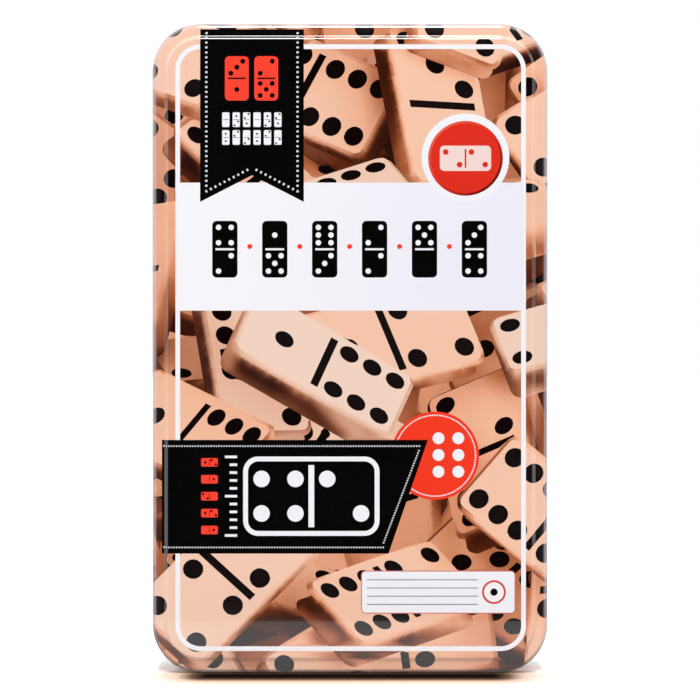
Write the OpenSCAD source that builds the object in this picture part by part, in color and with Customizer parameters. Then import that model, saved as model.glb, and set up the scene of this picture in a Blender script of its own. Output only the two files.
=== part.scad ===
// Slip-lid tin for a double-six domino set, standing on its short end with the lid facing -Y.
// The pieces are drawn lying on their back, z up towards the lid, and stand_up() turns them.

/* [Tin] */
// Width across the long sides
tin_width = 116; // [108:1:150]
// Height when it stands on its short end
tin_height = 190.4; // [182:0.2:230]
// Radius of the four corners, seen from the front
corner_radius = 14; // [10:0.5:20]
// Thickness of the tinplate
sheet = 0.3; // [0.2:0.05:0.4]

/* [Lid] */
// How far the side wall of the lid reaches back from its rim band
skirt_depth = 13.4; // [9:0.2:16]
// Radius where the side wall turns into the rim band
shoulder_radius = 1.6; // [1.2:0.1:2]
// Width of the rim band round the raised panel
rim_band = 3.7; // [3:0.1:6]
// How far the rim band rises towards the raised panel
band_rise = 0.25; // [0.1:0.05:0.6]
// Width of the slope up to the raised panel
panel_slope = 0.9; // [0.7:0.1:1.6]
// Height of the raised panel above the rim band
panel_rise = 0.8; // [0.5:0.1:1.2]
// Length of the folded hem at the edge of the side wall
hem_length = 2.4; // [1.6:0.2:4]
// Gap left inside the fold of the hem
hem_gap = 0.1; // [0.05:0.05:0.2]
// Clearance between the hem and the neck that it slides over
slip_clearance = 0.15; // [0.1:0.05:0.3]
// Gap between the lid and the rim that it closes on
seat_gap = 0.1; // [0.05:0.05:0.3]

/* [Base] */
// Radius at the back edge of the base
back_radius = 1.5; // [1:0.1:2.5]
// Height of the floor panel above the foot ring
floor_rise = 0.8; // [0.4:0.1:1.4]
// Width of the foot ring round the floor panel
foot_ring = 4.4; // [3.5:0.1:7]
// Radius of the curled safety edge at the mouth
curl_radius = 0.6; // [0.5:0.05:0.9]
// Gap between the ledge of the base and the edge of the lid
ledge_gap = 0.25; // [0.1:0.05:0.6]

/* [Tiles] */
// Length of a tile
tile_length = 40; // [34:0.5:44]
// Width of a tile
tile_width = 23; // [19:0.5:24.5]
// Thickness of a tile
tile_thickness = 8; // [6:0.5:10]
// Radius of a tile's corners, seen from above
tile_corner = 2.6; // [2:0.1:4]
// Radius of a tile's edges
tile_edge = 0.8; // [0.4:0.1:1.2]
// Diameter of a pip
pip_diameter = 4.4; // [3:0.1:4.8]
// Depth of a pip
pip_depth = 0.6; // [0.3:0.1:0.9]
// Distance from the middle of a half to its outer pips, along the tile
pip_step_along = 5.6; // [5:0.1:6.2]
// Distance from the middle of a half to its outer pips, across the tile
pip_step_across = 6.2; // [5:0.1:6.6]
// Length of the dividing bar across the middle
bar_length = 17; // [12:0.5:18]
// Width of the dividing bar
bar_width = 1.5; // [1:0.1:2]
// Depth of the dividing bar
bar_depth = 0.5; // [0.3:0.1:0.8]
// Gap between neighbouring tiles
tile_gap = 0.05; // [0.02:0.01:0.2]

/* [Insert] */
// Thickness of the formed plastic sheet
insert_sheet = 0.5; // [0.3:0.1:0.8]
// Clearance round the insert where it passes the curled edge
insert_clearance = 0.4; // [0.2:0.1:1]
// Free play round the tiles in a pocket
pocket_play = 0.4; // [0.2:0.1:1]
// Width of the bridge between the two pockets
pocket_bridge = 5; // [3:0.5:10]
// Height of the pocket floor above the floor panel
pocket_stand = 4.4; // [2:0.2:8]
// How far the top tiles stand proud of the deck
tile_proud = 2.2; // [1:0.2:4]
// Space between the top tiles and the lid
headroom = 1.3; // [0.6:0.1:4]
// Radius of the finger notches beside the pockets, where the deck has room for it
notch_radius = 8.5; // [6:0.5:10]
// Radius of the upper edge of the deck
deck_radius = 1.2; // [0.8:0.1:2]
// Width of the outward lip at the foot of the insert
foot_lip = 0.6; // [0.4:0.1:0.8]

/* [Hidden] */
rows = 7;
columns = 2;
layers = 2;
highest_face = 6;
faces = [for (low = [0:highest_face]) for (high = [low:highest_face]) [low, high]];
function tile_name(face) = str("tile_", face[0], "_", face[1]);

// the stack of heights, counted from the surface that the back of the tin would lie on
floor_top = floor_rise + sheet;
pocket_floor = floor_top + pocket_stand;
stack_height = layers * (tile_thickness + tile_gap) - tile_gap;
tiles_top = pocket_floor + stack_height;
deck_top = tiles_top - tile_proud;
lid_underside = tiles_top + headroom;
rim_top = lid_underside - seat_gap;
band_foot = lid_underside + sheet;
band_top = band_foot + band_rise;
panel_top = band_top + panel_rise;
tin_depth = panel_top;
lid_edge = band_foot - skirt_depth;
ledge = lid_edge - ledge_gap;

// what the lid slides over stands back from the outer wall by this
fold_radius = sheet + hem_gap / 2;
neck_inset = 2 * fold_radius + slip_clearance;
mouth_inset = neck_inset + 2 * curl_radius;
core = [tin_width - 2 * corner_radius, tin_height - 2 * corner_radius];

foot_slope = 1.2;
foot_bend = 1;
band_bend = 0.5;
panel_bend = 0.8;
ledge_bend = sheet + 0.2;
neck_bend = neck_inset - ledge_bend - 0.05;
lip_bend = 0.3;
curl_tail = 0.5;
bend_steps = 6;
$fn = 64;

insert_inset = mouth_inset + insert_clearance + foot_lip;
insert_radius = corner_radius - insert_inset;
pocket = [tile_length + 2 * pocket_play,
          rows * (tile_width + tile_gap) - tile_gap + 2 * pocket_play];
pocket_corner = tile_corner + pocket_play;
pocket_x = (pocket[0] + pocket_bridge) / 2;
deck_margin = tin_width / 2 - insert_inset - pocket_x - pocket[0] / 2;
notch = min(notch_radius, deck_margin - deck_radius - 2 * insert_sheet);

function turn(a, b) = atan2(a[0] * b[1] - a[1] * b[0], a * b);
function unit(v) = v / norm(v);
function left_of(angle) = [-sin(angle), cos(angle)];

// The line through the points with its bends rounded, as [point, direction angle] pairs.
function rounded_line(points, radii) = [
    for (i = [0:len(points) - 1])
        let (p = points[i],
             a = i == 0 ? unit(points[1] - p) : unit(p - points[i - 1]),
             b = i == len(points) - 1 ? a : unit(points[i + 1] - p),
             bend = i == 0 ? 0 : turn(a, b),
             reach = radii[i] * tan(abs(bend) / 2),
             heading = atan2(a[1], a[0]),
             centre = p - a * reach + sign(bend) * radii[i] * left_of(heading))
            for (k = [0:bend == 0 ? 0 : bend_steps])
                let (angle = heading + bend * k / bend_steps)
                    bend == 0 ? [p, heading]
                              : [centre - sign(bend) * radii[i] * left_of(angle), angle]
];

// A bent sheet's section: the line is one face, and the sheet lies to the left of it.
module sheet_section(points, radii, thickness) {
    line = rounded_line(points, radii);
    polygon(concat([for (at = line) at[0]],
                   [for (i = [len(line) - 1:-1:0]) line[i][0] + thickness * left_of(line[i][1])]));
}

// Carries a section round a rectangle: x is the distance outwards from the rectangle's sides.
module around(size) {
    for (side = [0:3]) {
        a = size[side % 2];
        b = size[(side + 1) % 2];
        rotate(90 * side)
            translate([a / 2, b / 2, 0]) {
                rotate_extrude(angle = 90)
                    children();
                rotate([90, 0, 0])
                    linear_extrude(b)
                        children();
            }
    }
}

// The middle of a piece that around() carries a section round.
module middle(size, from, thickness) {
    translate([-size[0] / 2, -size[1] / 2, from])
        cube([size[0], size[1], thickness]);
}

module rounded_rectangle(size, radius) {
    square([size[0] - 2 * radius, size[1]], center = true);
    square([size[0], size[1] - 2 * radius], center = true);
    for (x = [-1, 1], y = [-1, 1])
        translate([x * (size[0] / 2 - radius), y * (size[1] / 2 - radius)])
            circle(radius);
}

module stand_up() {
    translate([0, tin_depth / 2, tin_height / 2])
        rotate([90, 0, 0])
            children();
}

// The lid is one drawn sheet: hem, side wall, shoulder, sloping rim band and raised panel.
module lid() {
    foot_r = corner_radius - rim_band;
    panel_r = foot_r - panel_slope;
    color("burlywood")
        stand_up() {
            around(core)
                sheet_section([[corner_radius - 2 * fold_radius, lid_edge + hem_length],
                               [corner_radius - 2 * fold_radius, lid_edge],
                               [corner_radius, lid_edge],
                               [corner_radius, band_foot],
                               [foot_r, band_top],
                               [panel_r, panel_top],
                               [0, panel_top]],
                              [0, fold_radius, fold_radius, shoulder_radius, band_bend, panel_bend, 0],
                              sheet);
            middle(core, panel_top - sheet, sheet);
        }
}

// The base is one drawn sheet: floor panel, foot ring, flush wall, ledge, neck and curled edge.
module base() {
    ring_r = corner_radius - foot_ring;
    neck_r = corner_radius - neck_inset;
    mouth_r = corner_radius - mouth_inset;
    color("silver")
        stand_up() {
            around(core)
                sheet_section([[0, floor_rise],
                               [ring_r - foot_slope, floor_rise],
                               [ring_r, 0],
                               [corner_radius, 0],
                               [corner_radius, ledge],
                               [neck_r, ledge],
                               [neck_r, rim_top],
                               [mouth_r, rim_top],
                               [mouth_r, rim_top - curl_radius - curl_tail]],
                              [0, foot_bend, foot_bend, back_radius, ledge_bend, neck_bend,
                               curl_radius, curl_radius, 0],
                              sheet);
            middle(core, floor_rise, sheet);
        }
}

// A pocket with its finger notch on the side away from the bridge, grown by the sheet's thickness.
module pocket_outline(side, grow) {
    rounded_rectangle([pocket[0] + 2 * grow, pocket[1] + 2 * grow], pocket_corner + grow);
    translate([side * pocket[0] / 2, 0])
        circle(notch + grow);
}

// The insert is one formed plastic sheet: foot lip, outer wall, deck and two pockets.
module insert() {
    color("dimgray")
        stand_up()
            difference() {
                union() {
                    around(core)
                        sheet_section([[insert_radius + foot_lip, floor_top + insert_sheet],
                                       [insert_radius, floor_top + insert_sheet],
                                       [insert_radius, deck_top],
                                       [0, deck_top]],
                                      [0, lip_bend, deck_radius, 0],
                                      insert_sheet);
                    middle(core, deck_top - insert_sheet, insert_sheet);
                    for (side = [-1, 1])
                        translate([side * pocket_x, 0, pocket_floor - insert_sheet])
                            linear_extrude(deck_top - pocket_floor + insert_sheet)
                                pocket_outline(side, insert_sheet);
                }
                for (side = [-1, 1])
                    translate([side * pocket_x, 0, pocket_floor])
                        linear_extrude(deck_top - pocket_floor + 1)
                            pocket_outline(side, 0);
            }
}

// Where the pips of a half with a given count lie, as steps along and across the tile.
function pip_places(count) = concat(
    count % 2 == 1 ? [[0, 0]] : [],
    count >= 2 ? [[-1, -1], [1, 1]] : [],
    count >= 4 ? [[-1, 1], [1, -1]] : [],
    count == 6 ? [[0, -1], [0, 1]] : []
);

module pips(count) {
    ball = (pow(pip_diameter / 2, 2) + pow(pip_depth, 2)) / (2 * pip_depth);
    for (at = pip_places(count))
        translate([at[0] * pip_step_along, at[1] * pip_step_across, tile_thickness + ball - pip_depth])
            sphere(ball);
}

// A tile's section from its core outwards, with both edges rounded.
module tile_section() {
    square([tile_corner - tile_edge, tile_thickness]);
    translate([0, tile_edge])
        square([tile_corner, tile_thickness - 2 * tile_edge]);
    for (z = [tile_edge, tile_thickness - tile_edge])
        translate([tile_corner - tile_edge, z])
            circle(tile_edge, $fn = 32);
}

// One tile lying face up, with its length along x.
module tile(face) {
    tile_core = [tile_length - 2 * tile_corner, tile_width - 2 * tile_corner];
    difference() {
        union() {
            around(tile_core)
                tile_section();
            middle(tile_core, 0, tile_thickness);
        }
        translate([-tile_length / 4, 0, 0])
            pips(face[0]);
        translate([tile_length / 4, 0, 0])
            pips(face[1]);
        translate([-bar_width / 2, -bar_length / 2, tile_thickness - bar_depth])
            cube([bar_width, bar_length, bar_depth + 1]);
    }
}

// The tiles lie in the pockets row by row from the top left, the first half of them on top.
module placed_tile(index) {
    column = index % columns;
    row = floor(index / columns) % rows;
    layer = layers - 1 - floor(index / (columns * rows));
    color("ivory")
        stand_up()
            translate([(column - (columns - 1) / 2) * 2 * pocket_x,
                       ((rows - 1) / 2 - row) * (tile_width + tile_gap),
                       pocket_floor + layer * (tile_thickness + tile_gap)])
                tile(faces[index]);
}

lid();
base();
insert();
for (index = [0:len(faces) - 1])
    placed_tile(index);
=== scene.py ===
import bpy
import itertools
import math
import numpy as np
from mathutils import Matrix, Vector
from mathutils.bvhtree import BVHTree
from mathutils.geometry import delaunay_2d_cdt


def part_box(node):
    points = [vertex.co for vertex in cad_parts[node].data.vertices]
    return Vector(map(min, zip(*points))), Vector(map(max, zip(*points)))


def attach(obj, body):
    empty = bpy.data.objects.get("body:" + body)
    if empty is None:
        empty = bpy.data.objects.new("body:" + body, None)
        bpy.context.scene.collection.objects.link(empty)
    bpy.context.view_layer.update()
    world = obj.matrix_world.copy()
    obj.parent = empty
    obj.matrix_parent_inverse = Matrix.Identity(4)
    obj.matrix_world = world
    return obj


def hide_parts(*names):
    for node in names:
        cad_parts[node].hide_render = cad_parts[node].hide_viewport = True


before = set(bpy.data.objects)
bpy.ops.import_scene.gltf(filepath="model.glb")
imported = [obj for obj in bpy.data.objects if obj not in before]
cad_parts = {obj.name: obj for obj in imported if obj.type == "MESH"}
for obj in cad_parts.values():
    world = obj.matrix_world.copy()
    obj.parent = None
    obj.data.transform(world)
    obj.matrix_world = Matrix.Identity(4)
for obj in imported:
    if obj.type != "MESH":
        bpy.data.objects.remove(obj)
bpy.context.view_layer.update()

mm = 0.001  # sizes of the lid and its print are written in millimetres

lidLow, lidHigh = (Vector(corner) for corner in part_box("lid"))
halfWidth = (lidHigh.x - lidLow.x) / 2 / mm
halfHeight = (lidHigh.z - lidLow.z) / 2 / mm
middle = (lidLow.z + lidHigh.z) / 2


def fromHex(code):
    # a colour as it is seen, turned into the linear values that shaders take
    seen = np.array([int(code[i:i + 2], 16) / 255 for i in (1, 3, 5)])
    return np.where(seen <= 0.04045, seen / 12.92, ((seen + 0.055) / 1.055) ** 2.4)


def addObject(name, data):
    thing = bpy.data.objects.new(name, data)
    bpy.context.scene.collection.objects.link(thing)
    return thing


def smoothStep(low, high, value):
    x = np.clip((value - low) / (high - low), 0, 1)
    return x * x * (3 - 2 * x)


# the lid is drawn from one flat sheet, as its section goes from the panel out to the skirt
lid = {
    "cornerRadius": 14.0,
    "sheet": 0.3,
    "skirtDepth": 13.4,
    "shoulderRadius": 1.6,
    "rimBand": 3.7,
    "bandRise": 0.25,
    "bandBend": 0.5,
    "panelSlope": 0.9,
    "panelRise": 0.8,
    "panelBend": 0.8,
    "hemLength": 2.4,
    "foldRadius": 0.35,
    "flatInset": 0.5,  # how far inside the panel's edge the sheet is plain flat
    "bendSteps": 9,
    "cornerSteps": 18,
    "pitch": 1.1,  # spacing of the mesh that carries the print's soft shading
    "skirtPitch": 1.6,
}


def leftOf(angle):
    return np.array([-math.sin(angle), math.cos(angle)])


def roundedLine(points, radii, steps):
    # the line through the points with its bends rounded, as places and headings
    points = [np.array(point, float) for point in points]
    places, headings, ends = [], [], []
    for i, point in enumerate(points):
        inner = 0 < i < len(points) - 1
        into = points[max(i, 1)] - points[max(i, 1) - 1]
        out = points[i + 1] - point if inner else into
        heading = math.atan2(into[1], into[0])
        bend = math.atan2(into[0] * out[1] - into[1] * out[0], into @ out) if inner else 0
        side = math.copysign(1, bend)
        reach = radii[i] * math.tan(abs(bend) / 2)
        centre = point - into / np.linalg.norm(into) * reach + side * radii[i] * leftOf(heading)
        for k in range(steps + 1 if inner else 1):
            angle = heading + bend * k / steps
            places.append(centre - side * radii[i] * leftOf(angle) if inner else point)
            headings.append(angle)
        ends.append(len(places) - 1)
    return np.array(places), np.array(headings), ends


radius = lid["cornerRadius"]
bandTop = -lid["panelRise"]
bandFoot = bandTop - lid["bandRise"]
lidEdge = bandFoot - lid["skirtDepth"]
hemPly = radius - 2 * lid["foldRadius"]
footX = radius - lid["rimBand"]
panelX = footX - lid["panelSlope"]
lidLine, lidHeading, bendEnds = roundedLine(
    [(hemPly, lidEdge + lid["hemLength"]), (hemPly, lidEdge), (radius, lidEdge), (radius, bandFoot),
     (footX, bandTop), (panelX, 0), (0, 0)],
    [0, lid["foldRadius"], lid["foldRadius"], lid["shoulderRadius"], lid["bandBend"], lid["panelBend"], 0],
    lid["bendSteps"])
printEnd, shoulderEnd = bendEnds[2], bendEnds[3]
coreX, coreY = halfWidth - radius, halfHeight - radius
flatRadius = lidLine[shoulderEnd][0]  # outside this line the flat sheet is drawn down into the side wall

# how far each station of the section lies from that line, on the flat sheet
steps = np.linalg.norm(np.diff(lidLine[printEnd:shoulderEnd + 1], axis=0), axis=1)
drawn = np.concatenate([np.cumsum(steps[::-1])[::-1], [0]])
stationT = np.concatenate([drawn, lidLine[shoulderEnd + 1:, 0] - flatRadius])
stationOut = lidLine[printEnd:, 0]
stationFront = lidLine[printEnd:, 1]
stationHeading = lidHeading[printEnd:]
sheetEnd = stationT[0]
panelT = panelX - flatRadius - lid["flatInset"]


def sheetPlaces(flat):
    # splits a place on the flat sheet into its foot on the core, its direction and its distance
    foot = np.clip(flat, [-coreX, -coreY], [coreX, coreY])
    away = flat - foot
    length = np.linalg.norm(away, axis=1)
    direction = away / np.maximum(length, 1e-9)[:, None]
    inner = np.max(np.abs(flat) - [coreX, coreY], axis=1)
    return foot, direction, np.where(length > 1e-9, length, inner) - flatRadius


def onLid(flat):
    # carries places on the flat sheet to the lid's outside, with the normals there
    foot, direction, t = sheetPlaces(flat)
    out = np.interp(t, stationT[::-1], stationOut[::-1])
    front = np.interp(t, stationT[::-1], stationFront[::-1])
    heading = np.interp(t, stationT[::-1], stationHeading[::-1])
    plan = np.where((t > panelT)[:, None], foot + direction * out[:, None], flat)
    return toWorld(plan, front), toWorldNormals(direction, heading)


def toWorld(plan, front):
    return np.column_stack([plan[:, 0] * mm, lidLow.y - front * mm, middle + plan[:, 1] * mm])


def toWorldNormals(direction, heading):
    out, front = np.sin(heading), -np.cos(heading)
    return np.column_stack([direction[:, 0] * out, -front, direction[:, 1] * out])


def rimStations(pitch):
    # feet and directions of the points round the rim, shared by every ring
    feet, directions = [], []
    spans = [((coreX, -coreY), (coreX, coreY)), ((coreX, coreY), (-coreX, coreY)),
             ((-coreX, coreY), (-coreX, -coreY)), ((-coreX, -coreY), (coreX, -coreY))]
    for side, (start, end) in enumerate(spans):
        start, end = np.array(start), np.array(end)
        count = round(np.linalg.norm(end - start) / pitch)
        for k in range(count):
            feet.append(start + (end - start) * k / count)
            directions.append(side * 90)
        for k in range(lid["cornerSteps"]):
            feet.append(end)
            directions.append(side * 90 + 90 * k / lid["cornerSteps"])
    angles = np.radians(directions)
    return np.array(feet), np.column_stack([np.cos(angles), np.sin(angles)])


roundness = {"fewest": 12, "most": 72, "perMm": 9, "cornerPerMm": 2.5}  # points round discs and corners


def arc(x, y, radius, start, end, count):
    angles = np.radians(np.linspace(start, end, count + 1))
    return [(x + radius * math.cos(a), y + radius * math.sin(a)) for a in angles]


def disc(x, y, radius):
    count = max(roundness["fewest"], min(roundness["most"], round(radius * roundness["perMm"])))
    return arc(x, y, radius, 0, 360, count)[:-1]


def box(x, y, width, height, radius=0.0):
    if not radius:
        return [(x - width / 2, y - height / 2), (x + width / 2, y - height / 2),
                (x + width / 2, y + height / 2), (x - width / 2, y + height / 2)]
    a, b = width / 2 - radius, height / 2 - radius
    count = max(3, round(radius * roundness["cornerPerMm"]))
    corners = [(a, -b, -90), (a, b, 0), (-a, b, 90), (-a, -b, 180)]
    return [place for cx, cy, start in corners
            for place in arc(x + cx, y + cy, radius, start, start + 90, count)]


def pipSpots(count):
    # steps along and across a half of a tile
    spots = [(0, 0)] if count % 2 else []
    if count >= 2:
        spots += [(-1, -1), (1, 1)]
    if count >= 4:
        spots += [(-1, 1), (1, -1)]
    if count == 6:
        spots += [(0, -1), (0, 1)]
    return spots


def spaced(middle, count, spacing):
    # places in a row, the same distance apart
    return [middle + (k - (count - 1) / 2) * spacing for k in range(count)]


# the heap of tiles that the print shows, built and lit in a space of its own
heap = {
    "seed": 11,
    "length": 54.0,
    "width": 28.0,
    "thickness": 10.5,
    "cornerRadius": 3.6,
    "edgeRadius": 1.3,
    "pipRadius": 3.0,
    "pipSides": 18,
    "pipAlong": 7.76,
    "pipAcross": 8.0,
    "barWidth": 2.4,
    "barLength": 21.0,
    "viewTilt": 38,  # degrees that the eye leans away from straight above
    "spread": (46, 40),  # spacing of each layer's places
    "reachX": (-105, 106),
    "reachY": (-190, 175),
    "scatter": 12,
    "layers": 3,
    "steepest": 0.45,
    "probes": (7, 4),  # where a tile feels what lies below it: how many spots, and how near its edges
    "probeReach": 0.46,
    "probeArea": 60,  # the least triangle of spots that it rests on
    "groundPitch": 2.0,
    "groundCells": (230, 300),
    "groundCorner": (400, 500),
    "bounce": 0.5,  # the share of light that reaches a face whichever way it looks
    "keyLight": (0.55, -0.6, 0.62),
    "keySize": 0.3,
    "key": (12, 0.46, 200.0),  # rays, strength and reach of the lamp, and then of the open sky
    "sky": (26, 0.47, 32.0),
    "skySize": 0.96,
    "rayLift": 0.25,  # how far off a face its rays start
    "depthLeeway": 2.5,  # how far a face is carried on past what was seen of it
    "leastSlant": 0.05,
    "edgeLeeway": 0.5,  # what a ray hits this near to an edge is the edge itself
    "halfSphere": (0.9, 0.97),  # the size from which rays spread over a half sphere, and how far they lean
    "offAxis": (0.3, 1, 0.2),
    "softenings": 6,
    "lineLength": (5.0, 6.0),  # the longest line of an edge and of a pip
    "lineMargin": 16,  # how far past the lid's outline lines are looked for
    "ramp": [(0.0, "#1c0602"), (0.12, "#5a240f"), (0.26, "#a95c38"), (0.42, "#d48a64"),
             (0.6, "#eda786"), (0.8, "#f6bb9a"), (1.0, "#f9c8ad")],
    "paleRamp": [(0.0, "#200a05"), (0.12, "#5e2f1f"), (0.26, "#a8694b"), (0.42, "#d49a80"),
                 (0.6, "#e9b89d"), (0.8, "#f1c8b0"), (1.0, "#f6d6c4")],
    "ink": "#0d0202",
    "inkGloss": 0.004,
    "glossSpan": (0.75, 1.0),
    "paleTiles": (0.35, 0.9),  # from the tints that stay warm to those that are wholly pale
    "groundTint": 0.5,
}
tilt = math.radians(heap["viewTilt"])
eyeUp = np.array([0, math.cos(tilt), math.sin(tilt)])
toEye = np.array([0, -math.sin(tilt), math.cos(tilt)])
eyeDistance = 600.0
nearEye = 300.0  # far enough off any edge to look back at it


def tileRings():
    # the rounded tile as rings of points, from its back to its face
    r = heap["edgeRadius"]
    half = heap["thickness"] / 2
    rings = []
    for phi, level in ((90, -1), (45, -1), (0, -1), (0, 1), (45, 1), (90, 1)):
        phi = math.radians(phi)
        inset = r * (1 - math.cos(phi))
        z = level * (half - r + r * math.sin(phi))
        outline = np.array(box(0, 0, heap["length"] - 2 * inset, heap["width"] - 2 * inset,
                               heap["cornerRadius"] - inset))
        rings.append(np.column_stack([outline, np.full(len(outline), z)]))
    return rings


def restingPlane(ground, pitch, origin, x, y, angle):
    # the plane that a tile comes to rest in on what lies below it: height and two slopes
    along = np.array([math.cos(angle), math.sin(angle)])
    across = np.array([-along[1], along[0]])
    near, (countU, countV) = heap["probeReach"], heap["probes"]
    u, v = np.meshgrid(np.linspace(-near, near, countU) * heap["length"],
                       np.linspace(-near, near, countV) * heap["width"])
    spots = u.reshape(-1, 1) * along + v.reshape(-1, 1) * across
    cells = np.round((spots + [x, y] - origin) / pitch).astype(int)
    heights = np.max([ground[cells[:, 0] + i, cells[:, 1] + j] for i in (-1, 0, 1) for j in (-1, 0, 1)],
                     axis=0)
    triples = np.array(list(itertools.combinations(range(len(spots)), 3)))
    p = spots[triples]
    matrix = np.concatenate([np.ones((len(triples), 3, 1)), p], axis=2)
    good = np.abs(np.linalg.det(matrix)) > heap["probeArea"]
    p, matrix, triples = p[good], matrix[good], triples[good]
    planes = np.linalg.solve(matrix, heights[triples][:, :, None])[:, :, 0]
    above = planes[:, :1] + planes[:, 1:] @ spots.T - heights
    edge = np.roll(p, -1, axis=1) - p
    turn = edge[:, :, 0] * -p[:, :, 1] + edge[:, :, 1] * p[:, :, 0]
    inside = (turn >= -1e-9).all(axis=1) | (turn <= 1e-9).all(axis=1)
    ok = inside & (above.min(axis=1) > -1e-6)
    if not ok.any():
        return heights.max(), np.zeros(2)
    best = planes[ok][np.argmin(planes[ok][:, 0])]
    slope = best[1:] * min(1, heap["steepest"] / max(np.linalg.norm(best[1:]), 1e-9))
    return (heights - spots @ slope).max(), slope


def buildHeap():
    # drops tiles one after another and returns each one's middle, axes, ends and tint
    random = np.random.default_rng(heap["seed"])
    pitch = heap["groundPitch"]
    countX, countY = heap["groundCells"]
    origin = -pitch * np.array([countX, countY]) / 2
    ground = np.zeros((countX, countY))
    gx, gy = np.meshgrid(origin[0] + pitch * np.arange(countX), origin[1] + pitch * np.arange(countY),
                         indexing="ij")
    stepX, stepY = heap["spread"]
    scatter = heap["scatter"]
    tiles = []
    for layer in range(heap["layers"]):
        places = [(x + (row % 2) * stepX / 2, y) for row, y in enumerate(np.arange(*heap["reachY"], stepY))
                  for x in np.arange(*heap["reachX"], stepX)]
        for x, y in random.permutation(places):
            x, y = (np.array([x, y]) + random.uniform(-scatter, scatter, 2)
                    + layer * np.array([stepX / 3, stepY / 2]))
            angle = random.uniform(0, 2 * math.pi)
            height, slope = restingPlane(ground, pitch, origin, x, y, angle)
            normal = np.array([-slope[0], -slope[1], 1])
            rise = np.linalg.norm(normal)
            normal = normal / rise
            along = np.array([math.cos(angle), math.sin(angle), 0])
            along = along - normal * (along @ normal)
            along /= np.linalg.norm(along)
            centre = np.array([x, y, height]) + normal * heap["thickness"] / 2
            axes = np.array([along, np.cross(normal, along), normal])
            tiles.append((centre, axes, random.integers(1, 7, 2), random.uniform()))  # one to six pips an end
            dx, dy = gx - x, gy - y
            u = dx * math.cos(angle) + dy * math.sin(angle)
            v = dy * math.cos(angle) - dx * math.sin(angle)
            under = (np.abs(u) < heap["length"] / 2) & (np.abs(v) < heap["width"] / 2)
            top = height + slope[0] * dx + slope[1] * dy + heap["thickness"] * rise
            ground = np.where(under, np.maximum(ground, top), ground)
    return tiles


def toPicture(points):
    return np.column_stack([points[:, 0], points @ eyeUp])


def fromPicture(flat):
    return flat[:, :1] * np.array([1.0, 0, 0]) + flat[:, 1:] * eyeUp + eyeDistance * toEye


print("heap: dropping the tiles")
heapTiles = buildHeap()
ringPoints = tileRings()
ringSize = len(ringPoints[0])
facesPerTile = (len(ringPoints) - 1) * ringSize + 2
tilePoints = np.concatenate(ringPoints)
tileFaces = [[r * ringSize + i, r * ringSize + (i + 1) % ringSize,
              (r + 1) * ringSize + (i + 1) % ringSize, (r + 1) * ringSize + i]
             for r in range(len(ringPoints) - 1) for i in range(ringSize)]
tileFaces += [list(range(ringSize))[::-1], list(range(len(tilePoints) - ringSize, len(tilePoints)))]
faceCap = facesPerTile - 1
heapPoints, heapFaces = [], []
for centre, axes, ends, tint in heapTiles:
    first = len(heapPoints) * len(tilePoints)
    heapPoints.append(centre + tilePoints @ axes)
    heapFaces += [[first + i for i in face] for face in tileFaces]
heapPoints = np.concatenate(heapPoints)
groundX, groundY = heap["groundCorner"]
groundFace = len(heapFaces)
heapFaces.append([len(heapPoints) + i for i in range(4)])
heapPoints = np.concatenate([heapPoints, [(-groundX, -groundY, -1), (groundX, -groundY, -1),
                                          (groundX, groundY, -1), (-groundX, groundY, -1)]])
heapTree = BVHTree.FromPolygons([Vector(p) for p in heapPoints], heapFaces)
facePlace = np.array([heapPoints[face[0]] for face in heapFaces])
faceNormal = np.array([np.cross(heapPoints[face[1]] - heapPoints[face[0]],
                                heapPoints[face[2]] - heapPoints[face[0]]) for face in heapFaces])
faceNormal /= np.linalg.norm(faceNormal, axis=1)[:, None]
print("heap:", len(heapTiles), "tiles")


def seenSegments(outline, longest):
    # the stretches of a closed outline in the heap that the eye sees, on the flat sheet
    segments = []
    for a, b in zip(outline, np.roll(outline, -1, axis=0)):
        count = max(1, math.ceil(np.linalg.norm(b - a) / longest))
        for k in range(count):
            start, end = a + (b - a) * k / count, a + (b - a) * (k + 1) / count
            spot = (start + end) / 2
            hit = heapTree.ray_cast(Vector(spot + nearEye * toEye), Vector(-toEye))
            if hit[0] is None or (np.array(hit[0]) - spot) @ toEye < heap["edgeLeeway"]:
                segments.append(toPicture(np.array([start, end])))
    return segments


def heapLines():
    # every edge, pip and bar of the heap that shows, as short lines on the flat sheet
    lines = []
    longestEdge, longestMark = heap["lineLength"]
    reach = heap["length"] / 2 + heap["cornerRadius"] + heap["lineMargin"]
    for centre, axes, ends, tint in heapTiles:
        if (np.abs(toPicture(centre[None])[0]) > np.array([halfWidth, halfHeight]) + reach).any():
            continue
        for ring in ringPoints:
            lines += seenSegments(centre + ring @ axes, longestEdge)
        for outline in tileMarks(ends):
            flat = np.array(outline)
            raised = np.column_stack([flat, np.full(len(flat), heap["thickness"] / 2)])
            lines += seenSegments(centre + raised @ axes, longestMark)
    return lines


def pipCentres(ends):
    # where a tile's pips lie on its face
    return [(side * heap["length"] / 4 + along * heap["pipAlong"], across * heap["pipAcross"])
            for side, count in zip((-1, 1), ends) for along, across in pipSpots(int(count))]


def tileMarks(ends):
    # outlines of a tile's bar and pips
    marks = [box(0, 0, heap["barWidth"], heap["barLength"])]
    return marks + [arc(x, y, heap["pipRadius"], 0, 360, heap["pipSides"])[:-1] for x, y in pipCentres(ends)]


def inked(local, ends):
    # whether a place on a tile's face lies in its bar or in a pip
    onBar = abs(local[0]) < heap["barWidth"] / 2 and abs(local[1]) < heap["barLength"] / 2
    return onBar or any((local[0] - x) ** 2 + (local[1] - y) ** 2 < heap["pipRadius"] ** 2
                        for x, y in pipCentres(ends))


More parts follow.
